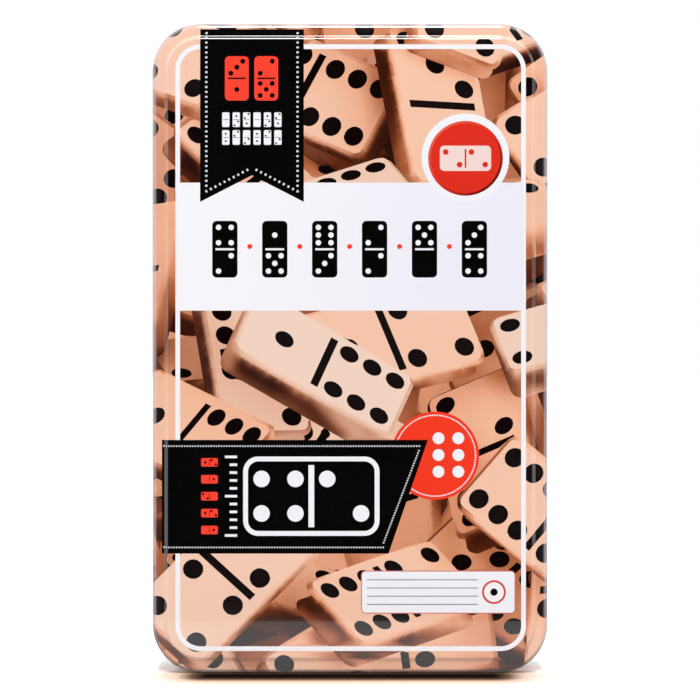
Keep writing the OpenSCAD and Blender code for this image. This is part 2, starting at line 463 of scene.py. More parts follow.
def smoothNormals(places, tileOf):
    # the rounded tile's own normals at places on it
    normals = np.tile([0.0, 0.0, 1.0], (len(places), 1))
    r, half = heap["edgeRadius"], heap["thickness"] / 2
    for index in np.unique(tileOf):
        if index >= len(heapTiles):
            continue
        mine = tileOf == index
        centre, axes = heapTiles[index][:2]
        local = (places[mine] - centre) @ axes.T
        lift = np.clip((np.abs(local[:, 2]) - (half - r)) / r, 0, 1) * np.sign(local[:, 2])
        inner = np.array([heap["length"] / 2, heap["width"] / 2]) - heap["cornerRadius"]
        away = np.abs(local[:, :2]) - inner
        corner = (away > 0).all(axis=1)
        sideways = np.where((away[:, 0] > away[:, 1])[:, None], [1.0, 0.0], [0.0, 1.0])
        outward = np.where(corner[:, None], np.maximum(away, 1e-6), sideways)
        outward = outward / np.linalg.norm(outward, axis=1)[:, None] * np.sign(local[:, :2])
        flatPart = np.sqrt(1 - lift ** 2)[:, None] * outward
        normals[mine] = np.column_stack([flatPart, lift]) @ axes
    return normals


def spreadDirections(count, axis, size):
    # directions spread evenly round an axis, on a disc or over the whole half sphere
    axis = np.array(axis, float) / np.linalg.norm(axis)
    side = np.cross(axis, heap["offAxis"])
    side /= np.linalg.norm(side)
    other = np.cross(axis, side)
    k = np.arange(count) + 0.5
    angle = k * math.pi * (3 - math.sqrt(5))  # by the golden angle
    reach = np.sqrt(k / count) * size
    least, most = heap["halfSphere"]
    up = np.sqrt(1 - np.minimum(reach, most) ** 2) if size >= least else np.ones(count)
    rays = np.outer(up, axis) + np.outer(reach * np.cos(angle), side) + np.outer(reach * np.sin(angle), other)
    return rays / np.linalg.norm(rays, axis=1)[:, None]


def litBy(places, normals):
    # how much light reaches each place, from the lamp and from the open sky
    starts = places + normals * heap["rayLift"]
    light = np.zeros(len(places))
    for source, axis, size in (("key", heap["keyLight"], heap["keySize"]),
                               ("sky", (0, 0, 1), heap["skySize"])):
        count, strength, reach = heap[source]
        rays = spreadDirections(count, axis, size)
        facing = np.maximum(normals @ rays.T, 0)
        vectors = [Vector(ray) for ray in rays]
        arrives = np.zeros_like(facing)
        for i, start in enumerate(starts):
            origin = Vector(start)
            row = facing[i]
            for j, ray in enumerate(vectors):
                if row[j] > 0.0 and heapTree.ray_cast(origin, ray, reach)[0] is None:
                    arrives[i, j] = 1
        light += strength * (arrives * facing).sum(axis=1) / len(rays)
        light += strength * heap["bounce"] * arrives.mean(axis=1)
    return light


eyeGamma = 2.2


def rampColour(ramp, value):
    # blends the colours of a ramp evenly to the eye
    stops = np.array([stop for stop, code in ramp])
    colours = np.array([fromHex(code) for stop, code in ramp]) ** (1 / eyeGamma)
    return np.column_stack([np.interp(value, stops, colours[:, i]) for i in range(3)]) ** eyeGamma


# the graphics over the heap, in millimetres to the right of and above the middle of the lid
graphics = {
    "shift": (0.19, 0.17),
    "border": {"size": (102.55, 177.5), "radius": 7.4, "stroke": 1.38},
    "band": {"low": 10.85, "high": 48.3, "tints": ("#faf9fd", "#f1f0fb"), "tintReach": 50},
    "tileRow": {"x": -0.3, "y": 28.8, "spacing": 14.6, "size": (7.4, 16.6), "pip": 0.82, "dotY": 29.6,
                "dot": 0.75, "ends": [(4, 2), (1, 5), (6, 3), (2, 2), (5, 0), (3, 4)]},
    "ribbon": {"left": -44.05, "right": -13.71, "top": 93.3, "tips": 42.65, "notch": 50.4,
               "stitchInset": 1.82, "stitchDrop": 0.4, "stitchRise": 4.0, "slantRise": 3.1, "pointRise": 2.3},
    "ribbonTiles": {"y": 78.8, "x": (-33.3, -24.7), "size": (7.0, 13.0), "ends": [(3, 1), (2, 5)]},
    "ribbonRows": {"y": (66.7, 61.5), "x": -28.9, "count": 6, "spacing": 3.05, "size": (2.15, 4.3),
                   "pip": 0.3},
    "disc": {"at": (33.6, 55.4), "white": 12.85, "whiteLift": 0.3, "red": 10.95, "bevel": 0.75,
             "bevelTones": ("#6d100b", "#ef5a48"), "tile": (15.0, 7.4), "tileColour": "#f6dcd6",
             "ends": (2, 2), "pip": 0.85},
    "seal": {"at": (24.7, -31.6), "radius": 12.9, "stitch": 11.85, "pitch": 0.74, "stitchShare": 0.58,
             "stitchHalf": 0.22, "pipsAt": (28.6, -31.4), "pipSteps": (2.9, 4.9), "pip": 1.75},
    "banner": {"left": -55.3, "top": -27.0, "bottom": -60.24, "rightTop": 22.6, "rightBottom": 11.1,
               "stitchInset": 1.8, "stitchStart": 0.2, "stitchEnds": (2.1, 1.2), "slantEnds": (2.5, 1.6),
               "slantGap": 1.0},
    "bannerTile": {"at": (-11.51, -43.45), "size": (39.9, 23.2), "radius": 4.4, "stroke": 1.42,
                   "bar": (1.7, 18.2), "half": 9.6, "pipSteps": (4.95, 5.05), "pip": 2.43, "ends": (4, 2)},
    "bannerColumn": {"x": -41.3, "size": (4.9, 2.5), "spacing": 4.95, "count": 5, "pip": 0.36},
    "bannerRuler": {"x": -33.2, "long": 3.6, "short": 2.2, "thick": 0.75, "spacing": 2.3, "count": 11,
                    "longEvery": 5},
    "plate": {"at": (25.63, -71.52), "size": (45.2, 12.6), "radius": 1.3, "line": 0.28, "edge": "#cf6f6c",
              "rules": 4, "ruleSize": (32.5, 0.3), "ruleStart": (-4.6, 3.6), "ruleStep": 2.4,
              "ringX": 16.3, "rings": (3.5, 2.9, 1.1), "ring": "#dc4a42"},
    "stitches": {"ribbon": (1.44, 0.56, 0.66), "banner": (0.77, 0.41, 0.46)},  # pitch, length and width
    "white": "#f7f6fb",
    "thread": "#e2e1e6",
    "black": "#050405",
    "red": "#f93c22",
    "ribbonRed": "#ff4533",
    "discRed": "#e22f1e",
    "rule": "#8d8a92",
}


# a small tile's parts, as shares of its length and its width
smallTile = {"corner": 0.17, "pip": 0.105, "bar": (0.74, 0.035), "pipAlong": 0.135, "pipAcross": 0.25}


class Sheet:
    # shapes laid over the heap, each one on top of those before it
    def __init__(self):
        self.shapes = []

    def add(self, outline, colour):
        outline = np.array(outline, float) + graphics["shift"]
        x, y = outline[:, 0], outline[:, 1]
        if (x * np.roll(y, -1) - y * np.roll(x, -1)).sum() < 0:
            outline = outline[::-1]
        self.shapes.append((outline, colour))

    def framed(self, x, y, size, radius, line, edge, fill):
        # a box with a line of another colour round it
        self.add(box(x, y, *size, radius), edge)
        self.add(box(x, y, size[0] - 2 * line, size[1] - 2 * line, radius - line), fill)

    def tile(self, x, y, size, ends, colour, marks, pip=None, upright=True):
        # a small plain tile with its bar and pips
        long, wide = max(size), min(size)
        self.add(box(x, y, *size, wide * smallTile["corner"]), colour)
        pip = pip or wide * smallTile["pip"]
        bar = (wide * smallTile["bar"][0], long * smallTile["bar"][1])
        self.add(box(x, y, *(bar if upright else bar[::-1])), marks)
        for side, count in zip((1, -1), ends):
            for along, across in pipSpots(count):
                a = side * long / 4 + along * long * smallTile["pipAlong"]
                b = across * wide * smallTile["pipAcross"]
                self.add(disc(x + (b if upright else -a), y + (a if upright else b), pip), marks)

    def stitches(self, start, end, kind, first=0.5):
        # a row of short stitches from start to end
        start, end = np.array(start, float), np.array(end, float)
        length = np.linalg.norm(end - start)
        along = (end - start) / length
        across = np.array([-along[1], along[0]])
        pitch, long, wide = graphics["stitches"][kind]
        count = round(length / pitch)
        a, b = along * long / 2, across * wide / 2
        for k in range(count):
            at = start + along * length * (k + first) / count
            self.add([at - a - b, at + a - b, at + a + b, at - a + b], graphics["thread"])


def discBevel(flat):
    # the round badge's rolled edge: lit from the upper left
    dx, dy = (flat - np.array(graphics["disc"]["at"]) - graphics["shift"]).T
    lit = (dy - dx) / np.maximum(np.hypot(dx, dy), 1e-6) / math.sqrt(2)
    dark, bright = (fromHex(code) for code in graphics["disc"]["bevelTones"])
    plain = fromHex(graphics["discRed"])
    lit = lit[:, None]
    return np.where(lit < 0, plain + (dark - plain) * -lit, plain + (bright - plain) * lit)


def bandTint(flat):
    # the white band turns a little bluer towards its right end
    left, right = graphics["band"]["tints"]
    share = smoothStep(-graphics["band"]["tintReach"], graphics["band"]["tintReach"], flat[:, 0])[:, None]
    return fromHex(left) * (1 - share) + fromHex(right) * share


def drawGraphics():
    g = graphics
    sheet = Sheet()
    white, black = g["white"], g["black"]
    border = g["border"]
    sheet.framed(0, 0, border["size"], border["radius"], border["stroke"], white, "heap")
    low, high = g["band"]["low"], g["band"]["high"]
    sheet.add(box(0, (low + high) / 2, border["size"][0] - border["stroke"], high - low), bandTint)

    # a row of small tiles with red dots between them
    row = g["tileRow"]
    places = spaced(row["x"], len(row["ends"]), row["spacing"])
    for x, ends in zip(places, row["ends"]):
        sheet.tile(x, row["y"], row["size"], ends, black, white, pip=row["pip"])
        if x > places[0]:
            sheet.add(disc(x - row["spacing"] / 2, row["dotY"], row["dot"]), g["red"])

    # the round badge
    badge = g["disc"]
    x, y = badge["at"]
    sheet.add(disc(x, y + badge["whiteLift"], badge["white"]), white)
    sheet.add(disc(x, y, badge["red"]), discBevel)
    sheet.add(disc(x, y, badge["red"] - badge["bevel"]), g["discRed"])
    sheet.tile(x, y, badge["tile"], badge["ends"], badge["tileColour"], g["discRed"], pip=badge["pip"],
               upright=False)

    # the hanging ribbon
    ribbon = g["ribbon"]
    left, right, inset = ribbon["left"], ribbon["right"], ribbon["stitchInset"]
    centre = (left + right) / 2
    sheet.add([(left, ribbon["tips"]), (centre, ribbon["notch"]), (right, ribbon["tips"]),
               (right, ribbon["top"]), (left, ribbon["top"])], black)
    for x in (left + inset, right - inset):
        sheet.stitches((x, ribbon["top"] - ribbon["stitchDrop"]), (x, ribbon["tips"] + ribbon["stitchRise"]),
                       "ribbon")
    for x in (left + inset, right - inset):
        sheet.stitches((x, ribbon["tips"] + ribbon["slantRise"]),
                       (centre, ribbon["notch"] + ribbon["pointRise"]), "ribbon", first=0)
    pair = g["ribbonTiles"]
    for x, ends in zip(pair["x"], pair["ends"]):
        sheet.tile(x, pair["y"], pair["size"], ends, g["ribbonRed"], black)
    rows = g["ribbonRows"]
    for row, y in enumerate(rows["y"]):
        for k, x in enumerate(spaced(rows["x"], rows["count"], rows["spacing"])):
            ends = ((k + row) % 3, (k * 2 + row) % 3)
            sheet.tile(x, y, rows["size"], ends, white, black, pip=rows["pip"])

    # the round seal with its ring of stitches
    seal = g["seal"]
    x, y = seal["at"]
    sheet.add(disc(x, y, seal["radius"]), g["red"])
    inner, outer = seal["stitch"] - seal["stitchHalf"], seal["stitch"] + seal["stitchHalf"]
    count = round(2 * math.pi * seal["stitch"] / seal["pitch"])
    for k in range(count):
        a, b = (2 * math.pi * (k + share) / count for share in (0.0, seal["stitchShare"]))
        sheet.add([(x + r * math.cos(t), y + r * math.sin(t))
                   for r, t in ((inner, a), (outer, a), (outer, b), (inner, b))], white)
    x, y = seal["pipsAt"]
    stepX, stepY = seal["pipSteps"]
    for along, across in pipSpots(6):
        sheet.add(disc(x + across * stepX, y + along * stepY, seal["pip"]), white)

    # the banner with a tile drawn at real size and a ruler beside it
    banner = g["banner"]
    sheet.add([(banner["left"], banner["bottom"]), (banner["rightBottom"], banner["bottom"]),
               (banner["rightTop"], banner["top"]), (banner["left"], banner["top"])], black)
    top, bottom = banner["top"] - banner["stitchInset"], banner["bottom"] + banner["stitchInset"]
    start, gap = banner["left"] + banner["stitchStart"], banner["slantGap"]
    rights = (banner["rightTop"], banner["rightBottom"])
    highEnd, lowEnd = (right - short for right, short in zip(rights, banner["stitchEnds"]))
    highSlant, lowSlant = (right - short for right, short in zip(rights, banner["slantEnds"]))
    sheet.stitches((start, top), (highEnd, top), "banner")
    sheet.stitches((start, bottom), (lowEnd, bottom), "banner")
    sheet.stitches((highSlant, top - gap), (lowSlant, bottom + gap), "banner")
    mark = g["bannerTile"]
    x, y = mark["at"]
    sheet.framed(x, y, mark["size"], mark["radius"], mark["stroke"], white, black)
    sheet.add(box(x, y, *mark["bar"]), white)
    stepX, stepY = mark["pipSteps"]
    for side, count in zip((-1, 1), mark["ends"]):
        for along, across in pipSpots(count):
            sheet.add(disc(x + side * mark["half"] + along * stepX, y - across * stepY, mark["pip"]), white)
    column = g["bannerColumn"]
    for k, yTile in enumerate(spaced(y, column["count"], column["spacing"])):
        sheet.tile(column["x"], yTile, column["size"], (k % 3, (k + 1) % 3), g["ribbonRed"], black,
                   pip=column["pip"], upright=False)
    ruler = g["bannerRuler"]
    for k, yTick in enumerate(spaced(y, ruler["count"], ruler["spacing"])):
        length = ruler["short"] if k % ruler["longEvery"] else ruler["long"]
        sheet.add(box(ruler["x"] - length / 2, yTick, length, ruler["thick"]), white)

    # the small plate for notes
    plate = g["plate"]
    x, y = plate["at"]
    sheet.framed(x, y, plate["size"], plate["radius"], plate["line"], plate["edge"], white)
    ruleX, ruleY = plate["ruleStart"]
    for k in range(plate["rules"]):
        sheet.add(box(x + ruleX, y + ruleY - plate["ruleStep"] * k, *plate["ruleSize"]), g["rule"])
    for size, colour in zip(plate["rings"], (plate["ring"], white, black)):
        sheet.add(disc(x + plate["ringX"], y, size), colour)
    return sheet.shapes


# of the points between the lines, and of how lines are joined and left out
sheetGrid = {"inset": 5, "rowShare": 0.87, "edgeGap": 0.2, "coverDepth": 3, "coverSides": 5, "nearest": 1e-4}


def sheetMesh(shapes):
    # cuts the flat sheet along every line of the print
    points, edges, faces = [], [], []

    def addLoop(outline):
        first = len(points)
        points.extend(map(tuple, outline))
        ring = list(range(first, len(points)))
        edges.extend(zip(ring, ring[1:] + ring[:1]))
        return ring

    feet, directions = rimStations(lid["skirtPitch"])
    for t in stationT[:-1]:
        addLoop(feet + directions * (flatRadius + t))
    rows = int((stationT[0] - stationT[1]) / lid["skirtPitch"])
    for k in range(1, rows):
        t = stationT[0] + (stationT[1] - stationT[0]) * k / rows
        points.extend(map(tuple, feet + directions * (flatRadius + t)))
    pitch, inset = lid["pitch"], sheetGrid["inset"]
    rowPitch = pitch * sheetGrid["rowShare"]
    for row, y in enumerate(np.arange(-halfHeight + inset, halfHeight - inset, rowPitch)):
        x = np.arange(-halfWidth + inset + (row % 2) * pitch / 2, halfWidth - inset, pitch)
        grid = np.column_stack([x, np.full(len(x), y)])
        t = sheetPlaces(grid)[2]
        points.extend(map(tuple, grid[t < panelT - pitch / 2]))

    # the heap's lines, without those off the sheet or well under the band, the ribbon and the banner
    covers = [np.array(outline) for outline, colour in shapes if colour in (bandTint, graphics["black"])
              and len(outline) <= sheetGrid["coverSides"]]
    lines = np.array(heapLines())
    keep = sheetPlaces(lines.reshape(-1, 2))[2].reshape(-1, 2) < sheetEnd - sheetGrid["edgeGap"]
    lines = lines[keep.all(axis=1)]
    for cover in covers:
        away = lines.mean(axis=1)[:, None] - cover
        side = np.roll(cover, -1, axis=0) - cover
        turn = side[:, 0] * away[:, :, 1] - side[:, 1] * away[:, :, 0]
        lines = lines[(turn < sheetGrid["coverDepth"] * np.linalg.norm(side, axis=1)).any(axis=1)]
    for a, b in lines:
        first = len(points)
        points.extend([tuple(a), tuple(b)])
        edges.append((first, first + 1))
    for outline, colour in shapes:
        faces.append(addLoop(outline))
    print("print:", len(points), "points and", len(edges), "lines")
    flat, _, tris, _, _, faceIds = delaunay_2d_cdt([Vector(p) for p in points], edges, faces, 0,
                                                   sheetGrid["nearest"], True)
    return np.array([tuple(place) for place in flat]), np.array([list(tri) for tri in tris]), faceIds


def heapShading(flat, tris):
    # the colour of the heap at every corner of these triangles
    centres = flat[tris].mean(axis=1)
    starts = fromPicture(centres)
    down = Vector(-toEye)
    hits = [heapTree.ray_cast(Vector(start), down) for start in starts]
    faceOf = np.array([groundFace if hit[2] is None else hit[2] for hit in hits])
    tileOf = faceOf // facesPerTile
    onFace = (faceOf % facesPerTile == faceCap) & (faceOf != groundFace)
    ink = np.zeros(len(tris), bool)
    for i in np.nonzero(onFace)[0]:
        centre, axes, ends, tint = heapTiles[tileOf[i]]
        ink[i] = inked(axes @ (np.array(hits[i][0]) - centre), ends)

    # one sample for each corner and surface, shared between neighbours
    surface = np.where(onFace, tileOf * 2, tileOf * 2 + 1)
    keys = tris.astype(np.int64) * (2 * len(heapTiles) + 2) + surface[:, None]
    unique, first, back = np.unique(keys.reshape(-1), return_index=True, return_inverse=True)
    triOf = first // 3
    corner = flat[tris.reshape(-1)[first]]
    start = fromPicture(corner)
    normal, place = faceNormal[faceOf[triOf]], facePlace[faceOf[triOf]]
    slant = normal @ -toEye
    slant = np.where(np.abs(slant) < heap["leastSlant"], -heap["leastSlant"], slant)
    depth = ((place - start) * normal).sum(axis=1) / slant
    known = np.array([(starts[i] - np.array(hits[i][0])) @ toEye if hits[i][0] is not None else 0
                      for i in triOf])
    depth = np.clip(depth, known - heap["depthLeeway"], known + heap["depthLeeway"])
    places = start - depth[:, None] * toEye
    tileIndex = tileOf[triOf]
    light = litBy(places, smoothNormals(places, tileIndex))
    light = relax(light, back.reshape(-1, 3), heap["softenings"])
    tint = np.array([tile[3] for tile in heapTiles] + [heap["groundTint"]])[tileIndex]
    warm, pale = rampColour(heap["ramp"], light), rampColour(heap["paleRamp"], light)
    share = smoothStep(*heap["paleTiles"], tint)[:, None]
    colours = warm * (1 - share) + pale * share
    dark = fromHex(heap["ink"]) + smoothStep(*heap["glossSpan"], light)[:, None] * heap["inkGloss"]
    return np.where(ink[:, None, None], dark[back].reshape(-1, 3, 3), colours[back].reshape(-1, 3, 3))


def relax(values, corners, passes):
    # evens out values between the corners of each triangle
    for _ in range(passes):
        total = np.zeros(len(values))
        count = np.zeros(len(values))
        for i in range(3):
            for j in range(3):
                np.add.at(total, corners[:, i], values[corners[:, j]])
                np.add.at(count, corners[:, i], 1)
        values = total / np.maximum(count, 1)
    return values


print("print: finding its lines")
shapes = drawGraphics()
sheetFlat, sheetTris, sheetFaceIds = sheetMesh(shapes)
print("print:", len(sheetFlat), "points and", len(sheetTris), "triangles")
topShape = np.array([max(ids) if ids else -1 for ids in sheetFaceIds])
isHeap = np.array([k < 0 or shapes[k][1] == "heap" for k in topShape])
sheetColours = np.zeros((len(sheetTris), 3, 3))
print("print: lighting the heap")
sheetColours[isHeap] = heapShading(sheetFlat, sheetTris[isHeap])
for k, (outline, colour) in enumerate(shapes):
    mine = (topShape == k) & ~isHeap
    if mine.any():
        if callable(colour):
            sheetColours[mine] = colour(sheetFlat[sheetTris[mine]].reshape(-1, 2)).reshape(-1, 3, 3)
        else:
            sheetColours[mine] = fromHex(colour)

# painted light on the print: along the shoulder the ink is painted paler, a painted sheen in place of the
# pale backdrop's reflection there, and where the tin stands on its end it is painted darker, a painted shade
# in place of the dark floor reflected there
shoulderSheen = {"colour": "#b9abb3", "share": 0.6, "from": -0.2, "full": 1.3, "to": 3.2}
footShade = {"colour": "#473c42", "share": 0.75, "from": 0.3, "full": 1.0, "to": 4.0}
footSpan = (0.3, 0.9)  # how squarely the shoulder faces the floor, from where the foot's painted shade starts


def blendPaintedLight(colours, kind, part):
    # blends one band of painted light, sheen or shade, into the print, over the part of the shoulder that it
    # covers
    rise = smoothStep(kind["from"], kind["full"], shoulderT)
    fall = 1 - smoothStep(kind["full"], kind["to"], shoulderT)
    share = (kind["share"] * (rise * fall) * part)[sheetTris][:, :, None]
    return colours * (1 - share) + fromHex(kind["colour"]) * share


outward, shoulderT = sheetPlaces(sheetFlat)[1:]
atFoot = smoothStep(*footSpan, -outward[:, 1])
# painted sheen along the shoulder's sides and top, then painted shade along its foot
sheetColours = blendPaintedLight(sheetColours, shoulderSheen, 1 - atFoot)
sheetColours = blendPaintedLight(sheetColours, footShade, atFoot)


def outerRing(tris):
    # the outer edge of a mesh of triangles, in order
    seen = set()
    for a, b, c in tris.tolist():
        seen.update(((a, b), (b, c), (c, a)))
    follows = {a: b for a, b in seen if (b, a) not in seen}
    start = next(iter(follows))
    ring = [start]
    while follows[ring[-1]] != start:
        ring.append(follows[ring[-1]])
    return np.array(ring)


layoutMargin = 0.004  # room round the print and the inside where their colours are laid out flat


def buildLid():
    # draws the flat sheet into the lid's shape, with its hem and its inside
    front, normals = onLid(sheetFlat)
    ring = outerRing(sheetTris)
    foot, direction, t = sheetPlaces(sheetFlat[ring])
    count = len(ring)
    follow = np.roll(np.arange(count), -1)

    # the section goes on round the hem, and back inside by one thickness of sheet
    section = list(zip(lidLine[:printEnd][::-1], lidHeading[:printEnd][::-1]))
    for place, heading in zip(lidLine[:-1], lidHeading[:-1]):
        section.append((place + lid["sheet"] * leftOf(heading), heading + math.pi))
    places = [lidLine[printEnd]] + [place for place, heading in section]
    steps = np.linalg.norm(np.diff(places, axis=0), axis=1)
    reach = places[-1][0] + np.append(np.cumsum(steps[::-1])[::-1], 0)

    # where both sides lie when they are laid out flat
    margin = layoutMargin
    low, high = sheetFlat.min(axis=0), sheetFlat.max(axis=0)
    scale = (1 - 2 * margin) / (high[1] - low[1])
    printRight = 2 * margin + (high[0] - low[0]) * scale
    insideScale = (1 - margin - printRight) / (2 * (coreX + reach[0]))
    insideMiddle = np.array([(1 - margin + printRight) / 2, margin + (coreY + reach[0]) * insideScale])
    layout = [margin + (sheetFlat[sheetTris].reshape(-1, 2) - low) * scale]

    points, normalRows = [front], [normals]
    faces = [list(tri) for tri in sheetTris.tolist()]
    printFaces = len(faces)
    previous, total = ring, len(front)
    laidBefore = insideMiddle + (foot + direction * reach[0]) * insideScale
    for (place, heading), out in zip(section, reach[1:]):
        points.append(toWorld(foot + direction * place[0], np.full(count, place[1])))
        normalRows.append(toWorldNormals(direction, np.full(count, heading)))
        current = np.arange(total, total + count)
        laid = insideMiddle + (foot + direction * out) * insideScale
        total += count
        faces += np.column_stack([previous[follow], previous, current, current[follow]]).tolist()
        layout.append(np.stack([laidBefore[follow], laidBefore, laid, laid[follow]], axis=1).reshape(-1, 2))
        previous, laidBefore = current, laid
    faces.append(previous[::-1].tolist())
    layout.append(laidBefore[::-1])
    return np.concatenate(points), np.concatenate(normalRows), faces, printFaces, np.concatenate(layout)


class Recipe:
    # a shader tree, with the few nodes that these finishes are mixed from
    def __init__(self, owner):
        owner.use_nodes = True
        self.owner, self.tree = owner, owner.node_tree
        self.nodes = self.tree.nodes

    def feed(self, node, values):
        # joins each input to another node's output, or gives it a plain value or a colour
        for name, value in values.items():
            if isinstance(value, bpy.types.NodeSocket):
                self.tree.links.new(value, node.inputs[name])
            elif isinstance(value, str):
                node.inputs[name].default_value = (*fromHex(value), 1)
            else:
                node.inputs[name].default_value = value

    def add(self, kind, values=None, **settings):
        node = self.nodes.new("ShaderNode" + kind)
        for name, value in settings.items():
            setattr(node, name, value)
        self.feed(node, values or {})
        return node

    def noise(self, place, scale, detail, distortion=0.0):
        node = self.add("TexNoise", {"Vector": place, "Scale": scale, "Detail": detail,
                                     "Distortion": distortion})
        return node.outputs["Fac"]

    def fit(self, value, low, high, toLow=0.0, toHigh=1.0, **settings):
        # carries a value from one range to another
        node = self.add("MapRange", {"Value": value, "From Min": low, "From Max": high, "To Min": toLow,
                                     "To Max": toHigh}, **settings)
        return node.outputs["Result"]

    def work(self, operation, *values):
        return self.add("Math", dict(enumerate(values)), operation=operation).outputs["Value"]

    def blend(self, factor, low, high):
        # a number between two others
        return self.add("Mix", {"Factor": factor, "A": low, "B": high}).outputs["Result"]

    def tint(self, factor, low, high):
        # a colour between two others
        return self.add("Mix", {"Factor": factor, "A": low, "B": high}, data_type="RGBA").outputs["Result"]

    def rays(self):
        # whether a ray is the camera's own, and whether it comes by a reflection
        path = self.add("LightPath").outputs
        return path["Is Camera Ray"], self.work("MAXIMUM", path["Is Glossy Ray"], path["Is Transmission Ray"])

    def bump(self, height, strength, distance):
        node = self.add("Bump", {"Height": height, "Strength": strength, "Distance": distance})
        return node.outputs["Normal"]

    def finish(self, values):
        # feeds the material's own shader
        self.feed(self.nodes["Principled BSDF"], values)
        return self.owner


noiseSpan = (0.3, 0.7)  # where most of a noise's values lie

# each noise is written as its scale, detail and distortion, and each bump as its strength and distance
varnish = {"smear": (70.0, 4.0), "roughness": (0.1, 0.16), "peel": (900.0, 2.0), "peelBump": (0.15, 0.00001),
           "level": 0.5, "coat": 1.0, "coatIndex": 1.6, "coatRoughness": 0.03}


def printMaterial():
    # ink under a gloss varnish, with the faint ripple that rolled varnish dries to
    recipe = Recipe(bpy.data.materials.new("printedTinplate"))
    place = recipe.add("TexCoord").outputs["Object"]
    smear = recipe.noise(place, *varnish["smear"])
    return recipe.finish({
        "Base Color": recipe.add("VertexColor", layer_name="ink").outputs["Color"],
        "Roughness": recipe.fit(smear, *noiseSpan, *varnish["roughness"]),
        "Normal": recipe.bump(recipe.noise(place, *varnish["peel"]), *varnish["peelBump"]),
        "Specular IOR Level": varnish["level"],
        "Coat Weight": varnish["coat"],
        "Coat IOR": varnish["coatIndex"],
        "Coat Roughness": varnish["coatRoughness"],
    })


tinplate = {"colours": ("#c4c5c8", "#d6d6d6"), "cloud": (60.0, 5.0), "roughness": (0.2, 0.29),
            "grain": (1400.0, 2.0), "stretch": 0.04, "endWall": (0.6, 0.8), "grainBump": (0.07, 0.00002)}


def tinplateMaterial():
    # bright rolled tinplate under clear lacquer: fine grain along the sheet and cloudy tin crystals
    recipe = Recipe(bpy.data.materials.new("bareTinplate"))
    coordinates = recipe.add("TexCoord")
    place = coordinates.outputs["Object"]
    grains = []
    for scale in ((1.0, 1.0, tinplate["stretch"]), (tinplate["stretch"], 1.0, 1.0)):
        stretched = recipe.add("Mapping", {"Vector": place, "Scale": scale}).outputs["Vector"]
        grains.append(recipe.noise(stretched, *tinplate["grain"]))
    facing = recipe.add("SeparateXYZ", {"Vector": coordinates.outputs["Normal"]})
    onEnd = recipe.fit(recipe.work("ABSOLUTE", facing.outputs["Z"]), *tinplate["endWall"])
    grain = recipe.blend(onEnd, *grains)  # upright on the walls and level on the end walls
    return recipe.finish({
        "Base Color": recipe.tint(recipe.noise(place, *tinplate["cloud"]), *tinplate["colours"]),
        "Metallic": 1.0,
        "Roughness": recipe.fit(grain, *noiseSpan, *tinplate["roughness"]),
        "Normal": recipe.bump(grain, *tinplate["grainBump"]),
    })


print("lid: drawing the sheet into shape")
lidPoints, lidNormals, lidFaces, printFaces, lidLayout = buildLid()
tinMaterial = tinplateMaterial()
lidMesh = bpy.data.meshes.new("printed_lid")
lidMesh.from_pydata(lidPoints.tolist(), [], lidFaces)
for material in (printMaterial(), tinMaterial):
    lidMesh.materials.append(material)
lidMesh.polygons.foreach_set("material_index", (np.arange(len(lidFaces)) >= printFaces).astype(int))
lidMesh.polygons.foreach_set("use_smooth", np.ones(len(lidFaces), bool))
lidMesh.update()
lidMesh.normals_split_custom_set_from_vertices(lidNormals.tolist())
inkLayer = lidMesh.color_attributes.new("ink", "FLOAT_COLOR", "CORNER")
inks = np.full((len(lidMesh.loops), 4), 0.5)  # grey where nothing is printed
inks[:printFaces * 3, :3] = sheetColours.reshape(-1, 3)
inks[:, 3] = 1
inkLayer.data.foreach_set("color", inks.reshape(-1))
lidMesh.uv_layers.new(name="OFBake").uv.foreach_set("vector", lidLayout.reshape(-1))
lidPiece = addObject("printed_lid", lidMesh)
print("lid:", len(lidPoints), "points and", len(lidFaces), "faces")
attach(lidPiece, "lid")
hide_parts("lid")

tileLook = {"ivory": ("#efe3cc", "#f6eddb"), "swirl": (90.0, 3.0, 1.5), "fine": (700.0, 3.0),
            "roughness": (0.16, 0.26), "fineBump": (0.1, 0.00003), "ink": "#0b0a0b", "paintRoughness": 0.4,
            "inkDepth": (0.02, 0.2),  # where the paint lies, as shares of the tile's thickness
            "edge": (0.47, 0.45)}  # and how far from its middle


def tileMaterial():
    # moulded ivory plastic with a faint swirl, and black paint wiped into the pips and the bar
    recipe = Recipe(bpy.data.materials.new("ivoryTile"))
    coordinates = recipe.add("TexCoord")
    place = coordinates.outputs["Object"]
    way = recipe.add("SeparateXYZ", {"Vector": coordinates.outputs["Generated"]})
    low, high = tileLook["inkDepth"]
    painted = recipe.work("MULTIPLY", recipe.work("GREATER_THAN", way.outputs["Y"], low),
                          recipe.work("LESS_THAN", way.outputs["Y"], high))
    for axis, edge in zip("XZ", tileLook["edge"]):
        offCentre = recipe.work("ABSOLUTE", recipe.work("SUBTRACT", way.outputs[axis], 0.5))
        painted = recipe.work("MULTIPLY", painted, recipe.work("LESS_THAN", offCentre, edge))
    ivory = recipe.tint(recipe.noise(place, *tileLook["swirl"]), *tileLook["ivory"])
    fine = recipe.noise(place, *tileLook["fine"])
    polish = recipe.fit(fine, *noiseSpan, *tileLook["roughness"])
    matt = recipe.work("MULTIPLY", painted, tileLook["paintRoughness"])
    return recipe.finish({
        "Base Color": recipe.tint(painted, ivory, tileLook["ink"]),
        "Roughness": recipe.work("MAXIMUM", polish, matt),
        "Normal": recipe.bump(fine, *tileLook["fineBump"]),
    })


insertLook = {"black": ("#0c0c0e", "#17171a"), "rubs": (45.0, 4.0), "rubSpan": (0.35, 0.75),
              "roughness": (0.38, 0.52), "pebble": (2600.0, 2.0), "pebbleBump": (0.25, 0.00004)}


